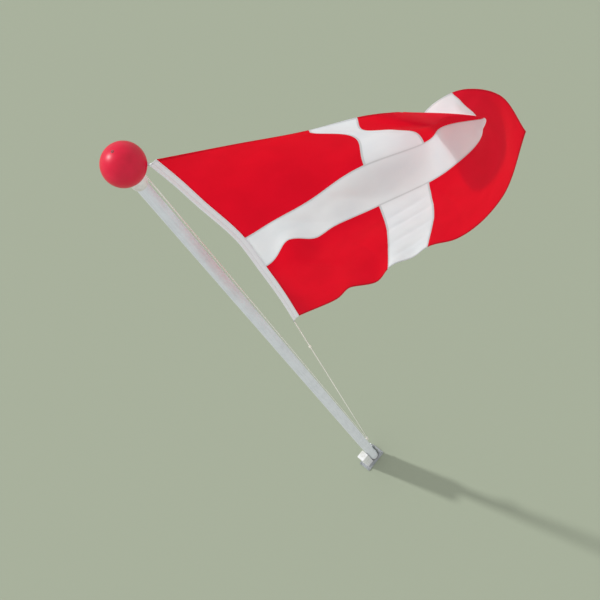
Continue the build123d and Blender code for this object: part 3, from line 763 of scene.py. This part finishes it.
@dataclass
class Flag:
    """The cloth and its heading, between the halyard's snap and the line below.

    The guides come from a least-squares study of the photo, thinned and rounded, then moved. The row at
    drop place 3 and four places of the row at 6 were set one by one, and so were the creases and the pulls.
    """

    guide_unit: float = 10 * MM
    heading_bearing: float = 167.3
    heading_width: float = 38 * MM
    heading_half: float = 1 * MM
    heading_faces: int = 12
    # the rope sewn in the heading: its bulge, and its place and spread as shares of the width from the cloth
    rope_bulge: float = 3.2 * MM
    rope_place: float = 0.84
    rope_spread: float = 0.12
    snap_gap: float = 0.9 * MM
    cloth_thickness: float = 0.9 * MM
    # the heading holds the cloth against its pulls over this many sewing units
    held_units: float = 3.0
    cut_hoist: float = 1.514
    cut_fly: float = 2.0
    fly_places: tuple = (0, 6, 12, 16, 20, 28, 37)
    drop_places: tuple = (0, 3, 6, 12, 16, 22, 28)
    faces_a_unit: int = 4
    guides: list = field(default_factory=lambda: [
        [(0, 0, 0), (30, 4, 0), (61, 7, 2), (80, 10, 4), (90, 20, -15), (98, 35, -55), (115, 25, -95)],
        [(5, -2, -17), (33, 7, -16), (61, 12, -12), (81, 12, -12), (97, 19, -21), (94, 41, -63),
         (110, 29, -103)],
        [(10, -5, -33), (38, 9, -32), (73, 17, -27), (92, 18, -27), (106, 21, -32), (95, 45, -70),
         (105, 35, -110)],
        [(22, -13, -63), (50, 2, -62), (76, 17, -60), (103, 25, -58), (110, 35, -66), (130, 45, -80),
         (101, 65, -115)],
        [(28, -21, -82), (54, -7, -79), (81, 4, -78), (104, 14, -78), (116, 25, -86), (130, 50, -105),
         (116, 81, -125)],
        [(31, -25, -112), (56, -13, -110), (82, 1, -110), (105, 10, -110), (120, 20, -120), (140, 50, -135),
         (141, 90, -150)],
        [(33, -29, -145), (57, -19, -145), (78, -5, -143), (100, 5, -145), (115, 10, -150), (140, 36, -163),
         (156, 81, -180)]])
    creases: tuple = (
        Crease((11.8, 18.6), (15.9, 17.4), 6.0, 22.0),
        Crease((11.9, 21.2), (15.9, 19.6), 7.0, 20.0),
        Crease((12.2, 24.0), (15.9, 22.6), 5.5, 20.0),
        Crease((12.5, 26.4), (15.6, 25.2), 4.0, 18.0),
        Crease((8.6, 13.2), (12.6, 15.4), 4.0, 22.0),
        Crease((3.4, 12.6), (7.0, 15.2), 4.0, 26.0),
        Crease((1.5, 17.5), (7.0, 23.0), 5.0, 34.0),
        Crease((8.0, 18.5), (11.4, 25.5), 5.0, 30.0),
        Crease((16.8, 17.5), (20.5, 26.0), 6.0, 36.0),
        Crease((2.0, 14.5), (9.0, 13.2), 2.5, 40.0),
        Crease((5.0, 12.6), (12.0, 14.8), 2.5, 45.0),
        Crease((32.5, 12.5), (36.5, 17.5), 5.0, 38.0),
        Crease((30.5, 14.5), (36.0, 20.5), 4.0, 45.0),
    )
    pulls: tuple = (
        Pull((2.6, 16.2), (2.0, 2.6), (-1.5, 4.0, 3.0)),
        Pull((5.4, 17.0), (1.3, 2.5), (0.5, -1.5, -1.5)),
        Pull((10.4, 28.0), (1.8, 3.5), (3.0, -3.5, -1.0)),
        Pull((6.8, 28.0), (1.2, 3.0), (-1.0, 1.5, 1.0)),
        Pull((14.2, 28.0), (1.2, 2.5), (1.5, -2.0, 0.0)),
    )

    def rows(self) -> list:
        """Hang the guides from the snap at the flag's top.

        Returns:
            One row of places in the frame for each guide.
        """
        low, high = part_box("upper_snap")
        free = Vector(((low.x + high.x) / 2, (low.y + high.y) / 2, low.z - self.snap_gap))
        corner = free - self.across()
        turn = wind_turn()
        return [[corner + turn @ (Vector(point) * self.guide_unit) for point in guide]
                for guide in self.guides]

    def across(self) -> Vector:
        """Return the level step across the heading, from the cloth to its free edge."""
        angle = math.radians(self.heading_bearing)
        return Vector((math.cos(angle), math.sin(angle), 0)) * self.heading_width

    def surface(self) -> Callable:
        """Lay the cloth over its guides and pull it aside where the wind and the sewing do.

        Returns:
            The function that gives the cloth's place for sewing units along the fly and down.
        """
        rows = self.rows()
        tangents = [slopes(self.fly_places, row) for row in rows]
        turn = wind_turn()
        shifts = [turn @ (Vector(pull.shift) * self.guide_unit) for pull in self.pulls]

        def place(u: float, v: float) -> Vector:
            """Find one place of the cloth.

            Args:
                u: Sewing units along the fly.
                v: Sewing units down the hoist.

            Returns:
                The place in the frame.
            """
            column = [along_curve(self.fly_places, row, slope, u) for row, slope in zip(rows, tangents)]
            here = along_curve(self.drop_places, column, slopes(self.drop_places, column), v)
            rise = min(1.0, u / self.held_units)
            free = rise * rise * (3 - 2 * rise)
            return here + sum((shift * (pull.share(u, v) * free)
                               for pull, shift in zip(self.pulls, shifts)), Vector((0, 0, 0)))

        return place

    def make_cloth(self) -> bpy.types.Object:
        """Build the cloth as one grid whose seams lie on its lines, bent to the wind's shape.

        Returns:
            The cloth object with its sewing map.
        """
        fly, drop = self.fly_places[-1], self.drop_places[-1]
        shape = sewing_grid(fly * self.faces_a_unit, drop * self.faces_a_unit, 1.0, 1.0)
        place = self.surface()
        for vert in shape.verts:
            u = (vert.co.x + 0.5) * fly
            v = (0.5 - vert.co.y) * drop
            here = place(u, v)
            out_fly = place(u + SLOPE_STEP, v) - place(u - SLOPE_STEP, v)
            down = place(u, v + SLOPE_STEP) - place(u, v - SLOPE_STEP)
            lift = sum(crease.lift(u, v, self.cut_fly / fly / MM) for crease in self.creases) * MM
            vert.co = here - out_fly.cross(down).normalized() * lift
        bmesh.ops.recalc_face_normals(shape, faces=shape.faces)
        cloth = finish_mesh(shape, "flag_cloth")
        thick = cloth.modifiers.new("cloth_thickness", "SOLIDIFY")
        thick.thickness = self.cloth_thickness
        thick.offset = 0.0
        return cloth

    def make_heading(self) -> bpy.types.Object:
        """Build the canvas band along the hoist, thick at its free edge where the rope runs inside.

        Returns:
            The band with its own map in millimetres.
        """
        seam = [row[0] for row in self.rows()]
        tangents = slopes(self.drop_places, seam)
        drop = self.drop_places[-1]
        shape = sewing_grid(self.heading_faces, drop * self.faces_a_unit, self.heading_width / MM,
                            self.cut_hoist / MM)
        bmesh.ops.recalc_face_normals(shape, faces=shape.faces)
        flat = {vert: (vert.co.x + 0.5, (0.5 - vert.co.y) * drop) for vert in shape.verts}
        twin = bmesh.ops.duplicate(shape, geom=shape.verts[:] + shape.edges[:] + shape.faces[:])
        partner = twin["vert_map"]
        back = {partner[vert]: spot for vert, spot in flat.items()}
        reverse = [item for item in twin["geom"] if isinstance(item, bmesh.types.BMFace)]
        bmesh.ops.reverse_faces(shape, faces=reverse)
        for side, spots in ((1.0, flat), (-1.0, back)):
            for vert, (across, v) in spots.items():
                above, here, below = (along_curve(self.drop_places, seam, tangents, v + step)
                                      for step in (-SLOPE_STEP, 0.0, SLOPE_STEP))
                down = (below - above).normalized()
                out = self.across().normalized().cross(down).normalized()
                free = 1.0 - across
                bulge = self.rope_bulge * math.exp(-((free - self.rope_place) / self.rope_spread) ** 2)
                vert.co = here + self.across() * free + out * (side * (self.heading_half + bulge))
        edges = [edge for edge in shape.edges if edge.is_boundary]
        bmesh.ops.bridge_loops(shape, edges=edges)
        bmesh.ops.recalc_face_normals(shape, faces=shape.faces)
        return finish_mesh(shape, "heading_band")

    def dress(self) -> list:
        """Build the flag's pieces and hand them to the frame.

        Returns:
            The cloth and the heading.
        """
        cloth = self.make_cloth()
        cloth.data.materials.append(Bunting().make())
        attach(cloth, Body.MAST.value)
        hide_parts("flag")
        heading = self.make_heading()
        heading.data.materials.append(Canvas().make())
        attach(heading, Body.MAST.value)
        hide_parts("heading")
        return [cloth, heading]


# Rope, snaps and knot


@dataclass
class RopeGear:
    """The halyard, its turns on the cleat, the line below the flag with its knot, and the two snap hooks."""

    rope_radius: float = 3 * MM
    sides: int = 14
    bearing: float = 20.0
    wrap_radius: float = 21.5 * MM
    arc_steps: int = 20
    turns: int = 3
    turn_half_width: float = 12.3 * MM
    turn_half_height: float = 34.3 * MM
    turn_corner: float = 11.07 * MM
    turn_start: float = 69.3 * MM
    turn_step: float = 6.3 * MM
    corner_steps: int = 5
    cleat_height: float = 1.15
    # how far both lines stand off the pole's axis at the cleat, and the lower one aside of its stem
    line_reach: float = 78 * MM
    lower_aside: float = -12 * MM
    # how far the knot lies below the snap, its turns, and their pitch in strand radii
    knot_drop: float = 0.748
    knot_turns: int = 5
    knot_pitch: float = 2.1
    knot_steps: int = 14
    knot_strand: float = 2.2 * MM
    snap_half: float = 15 * MM
    barrel_mm: tuple = ((0.0, 4.5), (2.6, 4.5), (4.6, 3.2), (4.6, -2.0), (3.4, -3.4), (0.0, -3.4))
    eye_radius: float = 4.2 * MM
    hook_stretch: float = 1.3
    hook_wire: float = 1.6 * MM
    wire_sides: int = 10
    ring_steps: int = 28

    def outward(self) -> Vector:
        """Return the level direction in which the sheave stands off the pole."""
        angle = math.radians(self.bearing)
        return Vector((math.cos(angle), math.sin(angle), 0))

    def frames(self, path: Sequence[Vector], closed: bool) -> list:
        """Find one matrix per point of a path, turned as little as possible from point to point.

        Args:
            path: The points.
            closed: Whether the last point leads back to the first.

        Returns:
            Matrices whose local Z follows the path.
        """
        count = len(path)
        found = []
        turn = None
        for k, point in enumerate(path):
            before = path[(k - 1) % count] if closed or k > 0 else point
            after = path[(k + 1) % count] if closed or k < count - 1 else point
            toward = (after - before).normalized()
            if turn is None:
                turn = Vector((0, 0, 1)).rotation_difference(toward)
            else:
                turn = last.rotation_difference(toward) @ turn
            last = toward
            found.append(Matrix.Translation(point) @ turn.to_matrix().to_4x4())
        return found

    def sweep(self, name: str, path: Sequence[Vector], radius: float,
              closed: bool = False) -> bpy.types.Object:
        """Draw a round section along a path, with the lay of its strands kept as an attribute.

        Args:
            name: The piece's name.
            path: The centre line.
            radius: The section's radius.
            closed: Whether the line closes on itself.

        Returns:
            The tube.
        """
        shape = bmesh.new()
        lay = shape.verts.layers.float_vector.new("lay")
        ring = bmesh.ops.create_circle(shape, segments=self.sides, radius=radius)["verts"]
        for vert in ring:
            vert[lay] = Vector((vert.co.x / radius, vert.co.y / radius, 0))
        frames = self.frames(path, closed)
        bmesh.ops.transform(shape, matrix=frames[0], verts=ring)
        first = shape.edges[:]
        edges = first
        gone = 0.0
        for before, here in zip(frames, frames[1:]):
            grown = bmesh.ops.extrude_edge_only(shape, edges=edges)["geom"]
            ring = [item for item in grown if isinstance(item, bmesh.types.BMVert)]
            edges = [item for item in grown if isinstance(item, bmesh.types.BMEdge)
                     and all(vert in ring for vert in item.verts)]
            bmesh.ops.transform(shape, matrix=here @ before.inverted(), verts=ring)
            gone += (here.translation - before.translation).length
            for vert in ring:
                vert[lay] = Vector((vert[lay].x, vert[lay].y, gone))
        if closed:
            bmesh.ops.bridge_loops(shape, edges=first + edges)
        else:
            bmesh.ops.edgeloop_fill(shape, edges=first)
            bmesh.ops.edgeloop_fill(shape, edges=edges)
        bmesh.ops.recalc_face_normals(shape, faces=shape.faces)
        return finish_mesh(shape, name)

    def halyard_path(self) -> list:
        """Lay the halyard's line: up beside the pole, over the sheave and down to the upper snap.

        Returns:
            The line's points.
        """
        low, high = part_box("sheave")
        centre = (low + high) / 2
        foot = self.line_foot(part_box("halyard")[0].z, 0.0)
        out = self.outward()
        reach = (foot - centre).dot(out)
        drop = (foot - centre).z
        bearing = math.atan2(drop, reach)
        tangent = bearing - math.acos(self.wrap_radius / math.hypot(drop, reach))
        start = tangent % (2 * math.pi)
        rim = [start * (1 - k / self.arc_steps) for k in range(self.arc_steps + 1)]
        over = [centre + (out * math.cos(a) + Vector((0, 0, math.sin(a)))) * self.wrap_radius for a in rim]
        end = Vector((over[-1].x, over[-1].y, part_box("upper_snap")[1].z))
        return [foot, *over, end]

    def line_foot(self, height: float, aside: float) -> Vector:
        """Find where a line leaves the cleat.

        Args:
            height: The height above the ground.
            aside: How far it is moved aside along the pole's skin.

        Returns:
            The place beside the cleat's stem.
        """
        out = self.outward()
        side = Vector((-out.y, out.x, 0))
        return out * self.line_reach + side * aside + Vector((0, 0, height))

    def lower_foot(self) -> Vector:
        """Return the place at the cleat where the lower line ends."""
        return self.line_foot(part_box("halyard")[0].z, self.lower_aside)

    def dress_rope(self, braid: bpy.types.Material) -> list:
        """Build the halyard, its turns, the lower line and its knot in braided cord.

        Args:
            braid: The cord's material.

        Returns:
            The pieces of cord.
        """
        pieces = [self.sweep("halyard_rope", self.halyard_path(), self.rope_radius)]
        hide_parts("halyard")
        low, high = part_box("lower_snap")
        top = Vector(((low.x + high.x) / 2, (low.y + high.y) / 2, low.z))
        foot = self.lower_foot()
        pieces.append(self.sweep("lower_rope", [foot, top], self.rope_radius))
        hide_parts("lower_line")
        pieces.append(self.sweep("rope_knot", self.knot_path(foot, top), self.knot_strand))
        for turn in range(self.turns):
            loop = self.sweep(f"cleat_turn_{turn + 1}", self.turn_path(turn), self.rope_radius, closed=True)
            if turn == 0:
                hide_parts("halyard_hitch")
            pieces.append(loop)
        for piece in pieces:
            piece.data.materials.append(braid)
            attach(piece, Body.MAST.value)
        return pieces

    def knot_path(self, foot: Vector, top: Vector) -> list:
        """Wind the strand of the knot round the lower line.

        Args:
            foot: The line's lower end.
            top: The line's upper end.

        Returns:
            The strand's points.
        """
        up = (top - foot).normalized()
        turn = Vector((0, 0, 1)).rotation_difference(up).to_matrix()
        middle = top - up * self.knot_drop
        radius = self.rope_radius + self.knot_strand
        pitch = self.knot_pitch * self.knot_strand
        path = []
        for k in range(self.knot_turns * self.knot_steps + 1):
            angle = 2 * math.pi * k / self.knot_steps
            rise = pitch * (k / self.knot_steps - self.knot_turns / 2)
            path.append(middle + turn @ Vector((radius * math.cos(angle), radius * math.sin(angle), rise)))
        return path

    def turn_path(self, turn: int) -> list:
        """Lay one closed turn of the halyard round the cleat's stem, as a rounded rectangle.

        Args:
            turn: The turn's number, from the pole outwards.

        Returns:
            The turn's points.
        """
        out = self.outward()
        side = Vector((-out.y, out.x, 0))
        base = out * (self.turn_start + turn * self.turn_step) + Vector((0, 0, self.cleat_height))
        straight_across = self.turn_half_width - self.turn_corner
        straight_up = self.turn_half_height - self.turn_corner
        path = []
        for right, above, start in ((1, 1, 0), (-1, 1, 90), (-1, -1, 180), (1, -1, 270)):
            for k in range(self.corner_steps + 1):
                angle = math.radians(start + 90 * k / self.corner_steps)
                across = right * straight_across + self.turn_corner * math.cos(angle)
                rise = above * straight_up + self.turn_corner * math.sin(angle)
                path.append(base + side * across + Vector((0, 0, rise)))
        return path

    def make_snap(self, name: str, node: str, up: Vector) -> bpy.types.Object:
        """Build a snap hook in a node's place: a swivel barrel, an eye above it and a closed hook below.

        Args:
            name: The piece's name.
            node: The node that it stands for.
            up: The direction of the line that it hangs on.

        Returns:
            The snap hook.
        """
        low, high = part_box(node)
        middle = (low + high) / 2
        shape = bmesh.new()
        spin_profile(shape, self.barrel_mm)
        radius = self.eye_radius - self.hook_wire / 2
        self.add_ring(shape, self.snap_half - self.eye_radius, radius, 1.0)
        self.add_ring(shape, self.eye_radius * self.hook_stretch - self.snap_half, radius, self.hook_stretch)
        turn = Vector((0, 0, 1)).rotation_difference(up).to_matrix().to_4x4()
        bmesh.ops.transform(shape, matrix=Matrix.Translation(middle) @ turn, verts=shape.verts)
        bmesh.ops.recalc_face_normals(shape, faces=shape.faces)
        return finish_mesh(shape, name)

    def add_ring(self, shape: bmesh.types.BMesh, height: float, radius: float, stretch: float) -> None:
        """Add a wire ring that stands upright.

        Args:
            shape: The snap hook's mesh.
            height: The ring's middle.
            radius: The radius to the wire's centre line.
            stretch: How much longer it is along the line than across.
        """
        upright = Matrix.Rotation(math.radians(90), 3, "X")
        wire = bmesh.ops.create_circle(shape, segments=self.wire_sides, radius=self.hook_wire)["verts"]
        bmesh.ops.translate(shape, vec=(radius, 0, 0), verts=wire)
        edges = list(dict.fromkeys(edge for vert in wire for edge in vert.link_edges))
        bmesh.ops.rotate(shape, cent=(radius, 0, 0), matrix=upright, verts=wire)
        old = set(shape.verts) - set(wire)
        bmesh.ops.spin(shape, geom=wire + edges, cent=(0, 0, 0), axis=(0, 0, 1), angle=2 * math.pi,
                       steps=self.ring_steps, use_merge=True)
        ring = [vert for vert in shape.verts if vert not in old]
        bmesh.ops.rotate(shape, cent=(0, 0, 0), matrix=upright, verts=ring)
        bmesh.ops.scale(shape, vec=(1, 1, stretch), verts=ring)
        bmesh.ops.translate(shape, vec=(0, 0, height), verts=ring)

    def dress(self) -> list:
        """Build all the rope's pieces and the two snap hooks.

        Returns:
            The pieces.
        """
        pieces = self.dress_rope(BraidedCord().make())
        steel = BrightSteel().make()
        low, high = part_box("lower_snap")
        leaning = ((low + high) / 2 - self.lower_foot()).normalized()
        for node, up in (("upper_snap", Vector((0, 0, 1))), ("lower_snap", leaning)):
            snap = self.make_snap(node.replace("snap", "hook"), node, up)
            snap.data.materials.append(steel)
            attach(snap, Body.MAST.value)
            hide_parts(node)
            pieces.append(snap)
        return pieces


# The rest of the pole


@dataclass
class BallPlug:
    """The small screw that closes the hole in the ball's crown, sunk a little and ringed by its own rim."""

    # the head from its sunk middle over its rim to its edge
    outline_mm: tuple = ((0.0, -1.2), (3.025, -1.2), (3.41, 0.5), (4.73, 0.8), (5.5, 0.1), (5.5, -2.0))
    off_crown: float = 14.0
    bearing: float = 79.0

    def dress(self) -> bpy.types.Object:
        """Spin the screw's head and set it on the ball's crown.

        Returns:
            The screw.
        """
        low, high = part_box("ball")
        centre = (low + high) / 2
        lean = (Matrix.Rotation(math.radians(self.bearing), 4, "Z")
                @ Matrix.Rotation(math.radians(self.off_crown), 4, "Y"))
        lift = Matrix.Translation((0, 0, (high.x - low.x) / 2))
        shape = bmesh.new()
        spin_profile(shape, self.outline_mm)
        bmesh.ops.transform(shape, matrix=Matrix.Translation(centre) @ lean @ lift, verts=shape.verts)
        bmesh.ops.recalc_face_normals(shape, faces=shape.faces)
        plug = finish_mesh(shape, "ball_plug")
        # the screw head is drawn dark grey as painted shade of the sunk hole that it closes
        dulled = BrightSteel(name="shaded_dark_steel", colour="#6B6664", roughness=0.5)
        plug.data.materials.append(dulled.make())
        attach(plug, Body.MAST.value)
        return plug


@dataclass
class Hardware:
    """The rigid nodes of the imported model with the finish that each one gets."""

    def finishes(self) -> dict:
        """Choose the rigid nodes' finishes.

        Returns:
            Each finish with the nodes that it covers.
        """
        nylon = PlainCoat("moulded_nylon", "#E4E4E0", "#C9C8C0", roughness=0.42, grain_mm=1.2, bump=0.10)
        enamel = PlainCoat("white_enamel", "#E9EAEA", "#D2D2CC", roughness=0.30, grain_mm=3.0, bump=0.06)
        timber = PlainCoat("impregnated_pine", "#B08E62", "#8C6A43", roughness=0.75, grain_mm=2.0, bump=0.30)
        return {
            GelCoat(): ["pole"],
            RedLacquer(): ["ball"],
            ZincCoat(): ["base_plate", "cheek_plate"],
            enamel: ["support_post", "post_cap"],
            BrightSteel(): ["hinge_bolt", "hinge_nut", "lock_bolt", "lock_nut", "sheave_pin", "ball_spindle",
                            "cleat_screws"],
            nylon: ["truck", "sheave", "cleat"],
            timber: ["foot_plug"],
        }

    def dress(self, frame: dict) -> None:
        """Give every rigid node its finish.

        Args:
            frame: The loaded frame.
        """
        for finish, nodes in self.finishes().items():
            material = finish.make()
            for node in nodes:
                for slot in frame["nodes"][node].material_slots:
                    slot.material = material
            LOG.info("%s on %s", material.name, ", ".join(nodes))


# The studio and the camera


@dataclass
class Studio:
    """The pale floor, the sky with one soft sun, and the camera that looks down past the ball."""

    floor_colour: str = "#9AA28E"
    floor_bounce: str = "#CFD1CB"
    floor_size: float = 60.0
    # read in the photograph: its size, the ball's middle and width, and the foot
    picture_px: float = 600.0
    ball_px: tuple = (123.4, 164.4)
    ball_width_px: float = 47.5
    foot_px: tuple = (373.8, 455.2)
    # pixels a metre at the foot, which rest on a size that is assumed
    ground_scale: float = 76.0
    sensor_mm: float = 36.0
    clip_end: float = 200.0
    sun_toward: tuple = (-0.78, 0.33, 0.53)
    sun_strength: float = 2.3
    sun_angle: float = 4.0
    sky_strength: float = 0.78

    def make_floor(self) -> None:
        """Lay the plain floor, which is seen in floor_colour and bounces light in floor_bounce."""
        shape = bmesh.new()
        bmesh.ops.create_grid(shape, x_segments=1, y_segments=1, size=self.floor_size / 2)
        floor = finish_mesh(shape, "studio_floor", smooth=False)
        material, tree = new_material("pale_floor")
        ray = add_node(tree, "LightPath").outputs
        seen = add_node(tree, "Math", {0: ray["Is Camera Ray"], 1: ray["Is Glossy Ray"]}, operation="MAXIMUM")
        shown = add_node(tree, "Math", {0: seen, 1: ray["Is Transmission Ray"]}, operation="MAXIMUM")
        colour = add_node(tree, "Mix", {0: shown, 6: linear(self.floor_bounce), 7: linear(self.floor_colour)},
                          data_type="RGBA").outputs[2]
        shader = add_node(tree, "BsdfPrincipled", {"Base Color": colour, "Roughness": 0.9})
        add_node(tree, "OutputMaterial", {0: shader})
        floor.data.materials.append(material)

    def make_light(self) -> None:
        """Set the sky and one soft sun from the photograph's side."""
        world = bpy.data.worlds.new("studio_sky")
        bpy.context.scene.world = world
        world.use_nodes = True
        tree = world.node_tree
        tree.nodes.clear()
        sky = add_node(tree, "Background", {"Color": (1, 1, 1, 1), "Strength": self.sky_strength})
        add_node(tree, "OutputWorld", {0: sky})
        lamp = bpy.data.lights.new("soft_sun", "SUN")
        lamp.energy = self.sun_strength
        lamp.angle = math.radians(self.sun_angle)
        sun = bpy.data.objects.new("soft_sun", lamp)
        sun.rotation_mode = "QUATERNION"
        sun.rotation_quaternion = (wind_turn() @ Vector(self.sun_toward)).to_track_quat("Z", "Y")
        bpy.context.scene.collection.objects.link(sun)

    def make_camera(self) -> None:
        """Put the camera where the foot and the ball look as far away as their sizes in the photo say."""
        low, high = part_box("ball")
        ratio = self.ball_width_px / (high.x - low.x) / self.ground_scale
        middle = Vector((self.picture_px / 2, self.picture_px / 2))
        ball, foot = Vector(self.ball_px), Vector(self.foot_px)
        plumb = foot + (foot - ball) / (ratio - 1) - middle
        reach = self.ground_scale * (low.z + high.z) / 2 * ratio / (ratio - 1)
        focal = math.sqrt(reach ** 2 - plumb.length_squared)
        up = -Vector((*plumb, focal)).normalized()
        right = (Vector((1, 0, 0)) - up * up.x).normalized()
        level = wind_turn() @ Matrix((right, up.cross(right), up))
        data = bpy.data.cameras.new("camera")
        data.lens = focal / self.picture_px * self.sensor_mm
        data.sensor_width = self.sensor_mm
        data.clip_end = self.clip_end
        camera = bpy.data.objects.new("camera", data)
        eye = -(level @ Vector((*(foot - middle), focal))) / self.ground_scale
        camera.matrix_world = Matrix.Translation(eye) @ (level @ Matrix.Diagonal((1, -1, -1))).to_4x4()
        LOG.info("camera at %.3f %.3f %.3f with a lens of %.2f mm", *eye, data.lens)
        bpy.context.scene.collection.objects.link(camera)
        bpy.context.scene.camera = camera

    def build(self) -> None:
        """Make the floor, the light and the camera."""
        bpy.context.scene.view_settings.view_transform = "Standard"
        self.make_floor()
        self.make_light()
        self.make_camera()


def main() -> None:
    """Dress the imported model, piece by piece, and report each one."""
    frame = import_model()
    Hardware().dress(frame)
    for piece in [*RopeGear().dress(), *Flag().dress(), BallPlug().dress()]:
        LOG.info("%s has %d faces", piece.name, len(piece.data.polygons))
    Studio().build()


if __name__ == "__main__":
    logging.basicConfig(level=logging.INFO, format="%(message)s")
    main()
